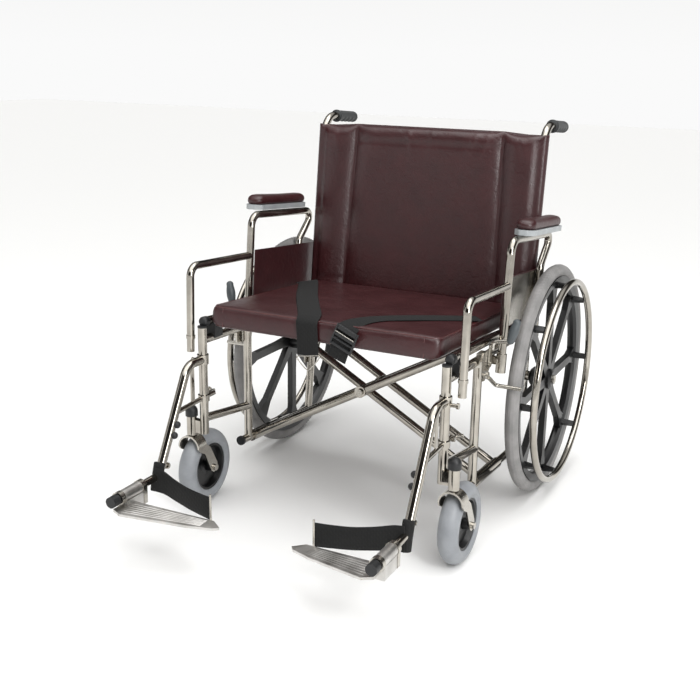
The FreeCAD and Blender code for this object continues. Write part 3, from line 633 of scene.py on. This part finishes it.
def makeArmPads():
    for side, sign in sides:
        low, high = (Vector(c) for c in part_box(f"arm_pad_{side}"))
        slopeAngle = math.atan2(-30, 342)      # the pad follows the arm tube's fall, 30 mm in 342
        middle = (low + high) / 2
        length = (high.y - low.y) / math.cos(slopeAngle) - 6 * mm
        height = 22 * mm
        endFall = 28 * mm
        turn = Matrix.Rotation(slopeAngle, 3, "X")

        def shape(p):
            crown = armPad["crown"] * (1 - (p.x / (26 * mm)) ** 2) if p.z > 0 else 0
            dip = -1.5 * mm * bell(p.y, 0.02, 0.1) if p.z > 0 else 0
            ripple = noise.noise(Vector((p.x * 30, p.y * 16, sign * 4))) * 0.8 * mm
            nearEnd = max(0, 1 - (length / 2 - abs(p.y)) / endFall)
            dome = -9 * mm * nearEnd ** 2
            local = Vector((p.x, p.y, p.z + (crown + dip + ripple + dome) * max(0, p.z) / (height / 2)))
            return middle + turn @ local

        pad = roundedSlab(f"armPadCover_{side}", (48 * mm, length, height), armPad["edge"], armPad["corner"],
                          (14, 60, 6), vinyl, shape)
        pad.modifiers.new("Smooth", "SUBSURF").levels = 1
        pad.modifiers["Smooth"].render_levels = 1
        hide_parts(f"arm_pad_{side}")
        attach(pad, f"arm_{side}")


makeArmPads()
print("stage: arm pads")


# Lap belt: two straps laid over the cushion, a wire fitting on one and a slider on the other
lapBelt = {"width": 56 * mm, "thick": 1.8 * mm}


def makeLapBelt():
    b = lapBelt
    frontY = -0.2505

    # the right half comes over the side at the back, crosses the cushion and hangs in front
    across = Vector((1, 0, 0))
    stations = [
        (seatPoint(-0.292, 0.462, 3 * mm), Vector((0.35, 1, 0))),
        (seatPoint(-0.268, 0.434, 5 * mm), Vector((0.55, 1, 0.1))),
        (seatPoint(-0.224, 0.352, 3.4 * mm), Vector((0.8, 0.7, 0.1))),
        (seatPoint(-0.170, 0.250, 2.6 * mm), Vector((1, 0.5, 0))),
        (seatPoint(-0.104, 0.135, 2.4 * mm), Vector((1, 0.35, 0))),
        (seatPoint(-0.050, 0.045, 2.4 * mm), Vector((1, 0.15, 0))),
        (seatPoint(-0.033, 0.010, 2.2 * mm), across),
        (Vector((-0.029, frontY + 1.5 * mm, 0.5315)), across),
        (Vector((-0.027, frontY - 1 * mm, 0.510)), across),
        (Vector((-0.025, frontY - 1 * mm, 0.480)), across + Vector((0, 0, 0.08))),
        (Vector((-0.025, frontY, 0.453)), across + Vector((0, 0, 0.14))),
    ]
    strap = ribbon("lapBeltStrap_right", stations, b["width"], b["thick"], webbing)
    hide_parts("lap_belt_right")
    # bent wire fitting in the strap's end loop
    top = Vector((-0.025, frontY, 0.4525))
    reach = 26 * mm
    wire = [top + Vector((-reach, 0, -4 * mm)), top + Vector((0, 0, 0)), top + Vector((reach, 0, 4 * mm)),
            top + Vector((reach + 3 * mm, 0, -3 * mm)), top + Vector((9 * mm, 0, -28 * mm)),
            top + Vector((0, 0, -34 * mm)), top + Vector((-11 * mm, 0, -28 * mm)),
            top + Vector((-reach - 2 * mm, 0, -10 * mm)), top + Vector((-reach, 0, -4 * mm))]
    fitting = tubeAlong("lapBeltWire", smoothPath(wire, 6), 1.5 * mm, chromePlate, sides=10)
    for piece, finish in ((strap, "black_webbing"), (fitting, "bright_fastener")):
        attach(piece, "seat_right")

    # the left half curves forward from the side, and its slider hangs over the front edge
    lean = Vector((1, 0.1, -0.35)).normalized()
    stations = [
        (seatPoint(0.294, 0.264, 2.4 * mm), Vector((0.7, -0.7, 0))),
        (seatPoint(0.262, 0.232, 2.4 * mm), Vector((0.7, -0.7, 0))),
        (seatPoint(0.212, 0.182, 2.4 * mm), Vector((0.7, -0.7, 0))),
        (seatPoint(0.158, 0.129, 2.6 * mm), Vector((0.7, -0.6, 0))),
        (seatPoint(0.112, 0.080, 2.8 * mm), Vector((0.8, -0.5, 0))),
        (seatPoint(0.086, 0.026, 2.6 * mm), Vector((1, -0.2, -0.1))),
        (Vector((0.078, frontY + 1 * mm, 0.5325)), lean),
        (Vector((0.073, frontY - 4 * mm, 0.518)), lean),
        (Vector((0.066, frontY - 5 * mm, 0.498)), lean),
        (Vector((0.058, frontY - 4 * mm, 0.476)), Vector((1, 0, -0.22))),
        (Vector((0.050, frontY - 1 * mm, 0.456)), Vector((1, 0, -0.12))),
    ]
    strap = ribbon("lapBeltStrap_left", stations, b["width"] * 0.86, b["thick"], webbing)
    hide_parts("lap_belt_left")
    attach(strap, "seat_left")

    # slider: a frame with two slots, tilted with the strap
    verts, faces = [], []
    turn = Matrix.Rotation(math.radians(24), 3, "Y") @ Matrix.Rotation(math.radians(4), 3, "X")
    centre = Vector((0.073, frontY - 8 * mm, 0.509))

    def bar(x0, x1, z0, z1, y0=-4.5, y1=3.5):
        start = len(verts)
        for x in (x0, x1):
            for y in (y0, y1):
                for z in (z0, z1):
                    verts.append(centre + turn @ Vector((x * mm, y * mm, z * mm)))
        for face in ((0, 1, 3, 2), (4, 6, 7, 5), (0, 4, 5, 1), (2, 3, 7, 6), (0, 2, 6, 4), (1, 5, 7, 3)):
            faces.append(tuple(start + f for f in face))

    bar(-29, -25, -27, 27)
    bar(25, 29, -27, 27)
    for low, high in ((-27, -20), (-11, -6), (-1, 7), (16, 27)):
        bar(-25.1, 25.1, low, high, -3.8, 2.6)
    slider = meshObject("lapBeltSlider", verts, faces, blackPlastic, smooth=False)
    softenEdges(slider, 1.2 * mm)
    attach(slider, "seat_left")
    # steel bar that the webbing runs round
    pin = tubeAlong("lapBeltBar", [centre + turn @ Vector((-25 * mm, -4.6 * mm, 9.5 * mm)),
                                   centre + turn @ Vector((25 * mm, -4.6 * mm, 9.5 * mm))],
                    1.3 * mm, chromePlate, sides=10)
    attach(pin, "seat_left")


makeLapBelt()
print("stage: lap belt")


# Rear tyres with a moulded tread
rearTyre = {"centreX": 389 * mm, "axle": Vector((0, 0.313, 0.305)), "ring": 287.5 * mm, "section": 17.3 * mm,
            "blocks": 150, "rows": 6, "depth": 1.7 * mm}


def makeRearTyres():
    t = rearTyre
    around = t["blocks"] * 3
    across = 42
    for side, sign in sides:
        rings = []
        for i in range(around):
            turn = 2 * math.pi * i / around
            out = Vector((0, math.sin(turn), math.cos(turn)))
            ring = []
            for j in range(across):
                bend = 2 * math.pi * j / across
                lift = 0
                spread = (bend + math.pi) % (2 * math.pi) - math.pi
                if abs(spread) < 1.25:
                    row = int((spread + 1.25) / 2.5 * t["rows"] * 2)
                    gap = (i + (row // 2 % 2)) % 3 == 0 or row % 2 == 1
                    lift = -t["depth"] if gap else 0
                r = t["section"] + lift
                ring.append(t["axle"] + out * (t["ring"] + r * math.cos(bend))
                            + Vector((sign * t["centreX"] + r * 0.98 * math.sin(bend), 0, 0)))
            rings.append(ring)
        tyre = loft(f"rearTyreTread_{side}", rings, tyreRubber, closed=True)
        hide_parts(f"rear_tyre_{side}")
        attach(tyre, f"wheel_{side}")


makeRearTyres()
print("stage: tyres")


# Push grips: rubber with finger notches below and a rounded end
pushGrip = {"radius": 15.5 * mm, "notches": 4, "notchDepth": 5 * mm}


def makePushGrips():
    g = pushGrip
    for side, sign in sides:
        x = sign * 320 * mm
        bendEnd = Vector((x, 0.4369, 0.9530))
        end = Vector((x, 0.5635, 0.9435))
        axis = (end - bendEnd).normalized()
        begin = end - axis * 114 * mm
        length = (end - begin).length + 5 * mm
        up = axis.cross(Vector((1, 0, 0))).normalized()
        up = -up if up.z < 0 else up
        rings = []
        steps = 96
        for i in range(steps + 1):
            t = i / steps
            along = length * t
            base = g["radius"]
            if along < 6 * mm:
                base += 2 * mm
            fromEnd = length - along
            if fromEnd < 12 * mm:
                base *= math.sqrt(max(0.02, 1 - ((12 * mm - fromEnd) / (12 * mm)) ** 2))
            ring = []
            for k in range(28):
                turn = 2 * math.pi * k / 28
                under = max(0, -math.sin(turn))
                wave = 0
                if 14 * mm < along < length - 14 * mm:
                    phase = (along - 14 * mm) / (length - 28 * mm) * g["notches"]
                    wave = g["notchDepth"] * under * (0.5 - 0.5 * math.cos(2 * math.pi * phase))
                    rib = 0.5 * mm * (1 if int(k / 2) % 2 else -1) * (1 - under)
                else:
                    rib = 0
                r = base - wave + rib
                spoke = Vector((math.cos(turn), 0, 0)) + up * math.sin(turn)
                ring.append(begin + axis * along + spoke * r)
            rings.append(ring)
        grip = loft(f"pushGripSleeve_{side}", rings, gripRubber)
        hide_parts(f"push_grip_{side}")
        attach(grip, f"frame_{side}")


makePushGrips()


# Small fittings that the CAD model leaves plain
def makeFittings():
    for side, sign in sides:
        # dipped grip on the lock lever
        low, high = Vector((sign * 386 * mm, -0.014, 0.488)), Vector((sign * 397 * mm, -0.006, 0.533))
        path = [low.lerp(high, i / 10) for i in range(11)]
        grip = tubeAlong(f"lockGrip_{side}", path,
                         lambda t: (9.2 + 2.6 * math.sin(math.pi * min(1, t * 1.1))) * mm, leverRubber, sides=20, ends=0.8)
        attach(grip, f"lock_lever_{side}")

        # black cap on the seat rail's front end
        body = "cross_frame_a" if sign > 0 else "cross_frame_b"
        railAxis = Vector((0, math.cos(math.radians(4)), -math.sin(math.radians(4))))
        front = Vector((sign * 323 * mm, -0.236, 0.492))
        cap = tubeAlong(f"seatRailCap_{side}", [front - railAxis * 3 * mm, front + railAxis * 9 * mm],
                        12.4 * mm, blackPlastic, sides=24, ends=0.6)
        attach(cap, body)

        # polished steel skin on the side panel's outer face
        outline = ((0.030, 0.500), (0.370, 0.480), (0.364, 0.592), (0.040, 0.621))
        verts = [(sign * x, y, z) for x in (0.3461, 0.3468) for y, z in outline]
        faces = [(0, 1, 2, 3), (4, 5, 6, 7)] + [(k, (k + 1) % 4, (k + 1) % 4 + 4, k + 4) for k in range(4)]
        skin = meshObject(f"sidePanelSkin_{side}", verts, faces, chromePlate, smooth=False)
        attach(skin, f"arm_{side}")


makeFittings()


# Footplate trim: raised ribs along the tread, and the bright fold of its front edge
footplate = {"hingeX": 326 * mm, "hingeZ": 138.5 * mm, "slope": math.radians(6.3), "thick": 6.0 * mm,
             "ribs": 6, "ribRadius": 1.5 * mm, "foldRadius": 2.6 * mm}


# a point on the tread's top; inward and y are measured in the plate's own plane
def treadPoint(sign, inward, y, over=0.0):
    f = footplate
    lift = f["thick"] + over
    return Vector((sign * (f["hingeX"] - inward * math.cos(f["slope"]) + lift * math.sin(f["slope"])), y,
                   f["hingeZ"] - inward * math.sin(f["slope"]) + lift * math.cos(f["slope"])))


def makeFootplateTrim():
    f = footplate
    for side, sign in sides:
        def frontEdge(inward):
            return (-618 + (inward / mm - 24) * 0.372) * mm

        def rearEdge(inward):
            return (-546 + (inward / mm - 30) * 0.194) * mm

        for number in range(f["ribs"]):
            share = 0.14 + 0.8 * number / f["ribs"]
            path = []
            for i in range(8):
                inward = (28 + 170 * i / 7) * mm
                y = frontEdge(inward) * (1 - share) + rearEdge(inward) * share
                path.append(treadPoint(sign, inward, y))
            rib = tubeAlong(f"treadRib_{side}_{number + 1}", path, f["ribRadius"], castAluminium, sides=8)
            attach(rib, f"footplate_{side}")
        path = [treadPoint(sign, inward, frontEdge(inward) + 1.5 * mm, -3 * mm)
                for inward in [(26 + 150 * i / 7) * mm for i in range(8)]]
        fold = tubeAlong(f"footplateFold_{side}", path, f["foldRadius"], chromePlate, sides=12)
        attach(fold, f"footplate_{side}")


makeFootplateTrim()


# Heel loops: a wide strap from an upright on the footplate round the leg tube
heelLoop = {"width": 57 * mm, "thick": 2.4 * mm, "uprightRadius": 2.6 * mm, "sleeveRadius": 13.5 * mm}


def makeHeelLoops():
    h = heelLoop
    for side, sign in sides:
        stations = [
            (Vector((sign * 0.1330, -0.5030, 0.1445)), Vector((0, 0, 1))),
            (Vector((sign * 0.1640, -0.4940, 0.1435)), Vector((0, -0.05, 1))),
            (Vector((sign * 0.2100, -0.4800, 0.1435)), Vector((0, -0.08, 1))),
            (Vector((sign * 0.2560, -0.4660, 0.1480)), Vector((0, -0.05, 1))),
            (Vector((sign * 0.2900, -0.4570, 0.1540)), Vector((0, 0.02, 1))),
            (Vector((sign * 0.3100, -0.4580, 0.1580)), Vector((0, 0.10, 1))),
            (Vector((sign * 0.3230, -0.4610, 0.1600)), Vector((0, 0.16, 1))),
        ]
        strap = ribbon(f"heelLoopStrap_{side}", stations, h["width"], h["thick"], webbing)
        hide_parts(f"heel_loop_{side}")
        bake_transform(strap)
        # the strap's end wraps round the leg tube
        wrap = [Vector((sign * 0.321, -0.452, 0.130)), Vector((sign * 0.321, -0.446, 0.158)),
                Vector((sign * 0.321, -0.435, 0.192))]
        sleeve = tubeAlong(f"heelLoopWrap_{side}", smoothPath(wrap, 4), h["sleeveRadius"], webbing, sides=20,
                           ends=0.15)
        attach(sleeve, f"footplate_mount_{side}")
        # chromed upright at the plate's rear inner corner
        foot = Vector((sign * 0.1315, -0.5045, 0.113))
        upright = tubeAlong(f"heelLoopUpright_{side}", [foot, foot + Vector((0, 0, 0.032)),
                                                        foot + Vector((0, 0, 0.066))],
                            h["uprightRadius"], chromePlate, sides=12)
        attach(upright, f"footplate_{side}")


makeHeelLoops()
print("stage: fittings")


# Floor and light
studio = {"floor": "#f4f4f3", "keyWatts": 44, "fillWatts": 7, "topWatts": 18, "sunStrength": 1.9}


def makeStudio():
    bpy.ops.mesh.primitive_plane_add(size=30, location=(0, 0, -0.0005))
    floor = bpy.context.object
    floor.name = "floor"
    # matt pale vinyl sheet, almost free of texture
    floor.data.materials.append(newMaterial("paleStudioFloor", {"Roughness": 0.75,
                                                               "Base Color": linear(studio["floor"])}))

    def areaLight(name, place, size, watts, aim=(0, 0, 0.45)):
        light = bpy.data.lights.new(name, "AREA")
        light.shape = "RECTANGLE"
        light.size, light.size_y = size
        light.energy = watts
        lamp = bpy.data.objects.new(name, light)
        bpy.context.collection.objects.link(lamp)
        lamp.location = place
        lamp.rotation_euler = (Vector(aim) - Vector(place)).to_track_quat("-Z", "Y").to_euler()

    areaLight("key", (2.2, -1.5, 1.6), (0.7, 1.7), studio["keyWatts"])
    areaLight("fill", (-2.4, -2.2, 1.8), (1.2, 2.0), studio["fillWatts"])
    areaLight("top", (0.2, 0.6, 3.2), (2.4, 1.2), studio["topWatts"])

    # a wide, soft sheet of light from overhead keeps the floor even to the horizon
    sky = bpy.data.lights.new("overhead", "SUN")
    sky.energy = studio["sunStrength"]
    sky.angle = math.radians(70)
    overhead = bpy.data.objects.new("overhead", sky)
    bpy.context.collection.objects.link(overhead)
    overhead.rotation_euler = (math.radians(18), math.radians(14), 0)

    world = bpy.data.worlds.new("studioWorld")
    bpy.context.scene.world = world
    world.use_nodes = True
    bpy.context.scene.view_settings.view_transform = "Standard"
    tree = world.node_tree
    tree.nodes.clear()
    # pale at the horizon and overhead, a dim band between for the chrome to mirror
    direction = addNode(tree, "ShaderNodeTexCoord")
    parts = addNode(tree, "ShaderNodeSeparateXYZ", {}, {"Vector": direction.outputs["Generated"]})
    bands = addNode(tree, "ShaderNodeValToRGB", {}, {"Fac": parts.outputs["Z"]})
    colour = ramp(bands, [(0.0, "#fafafa"), (0.10, "#f4f4f3"), (0.20, "#3c3a38"), (0.52, "#2c2a28"),
                          (0.70, "#d6d5d4"), (1.0, "#fbfbfa")])
    light = addNode(tree, "ShaderNodeBackground", {"Strength": 1.0}, {"Color": colour})
    addNode(tree, "ShaderNodeOutputWorld", {}, {"Surface": light.outputs[0]})


makeStudio()
print("stage: studio")
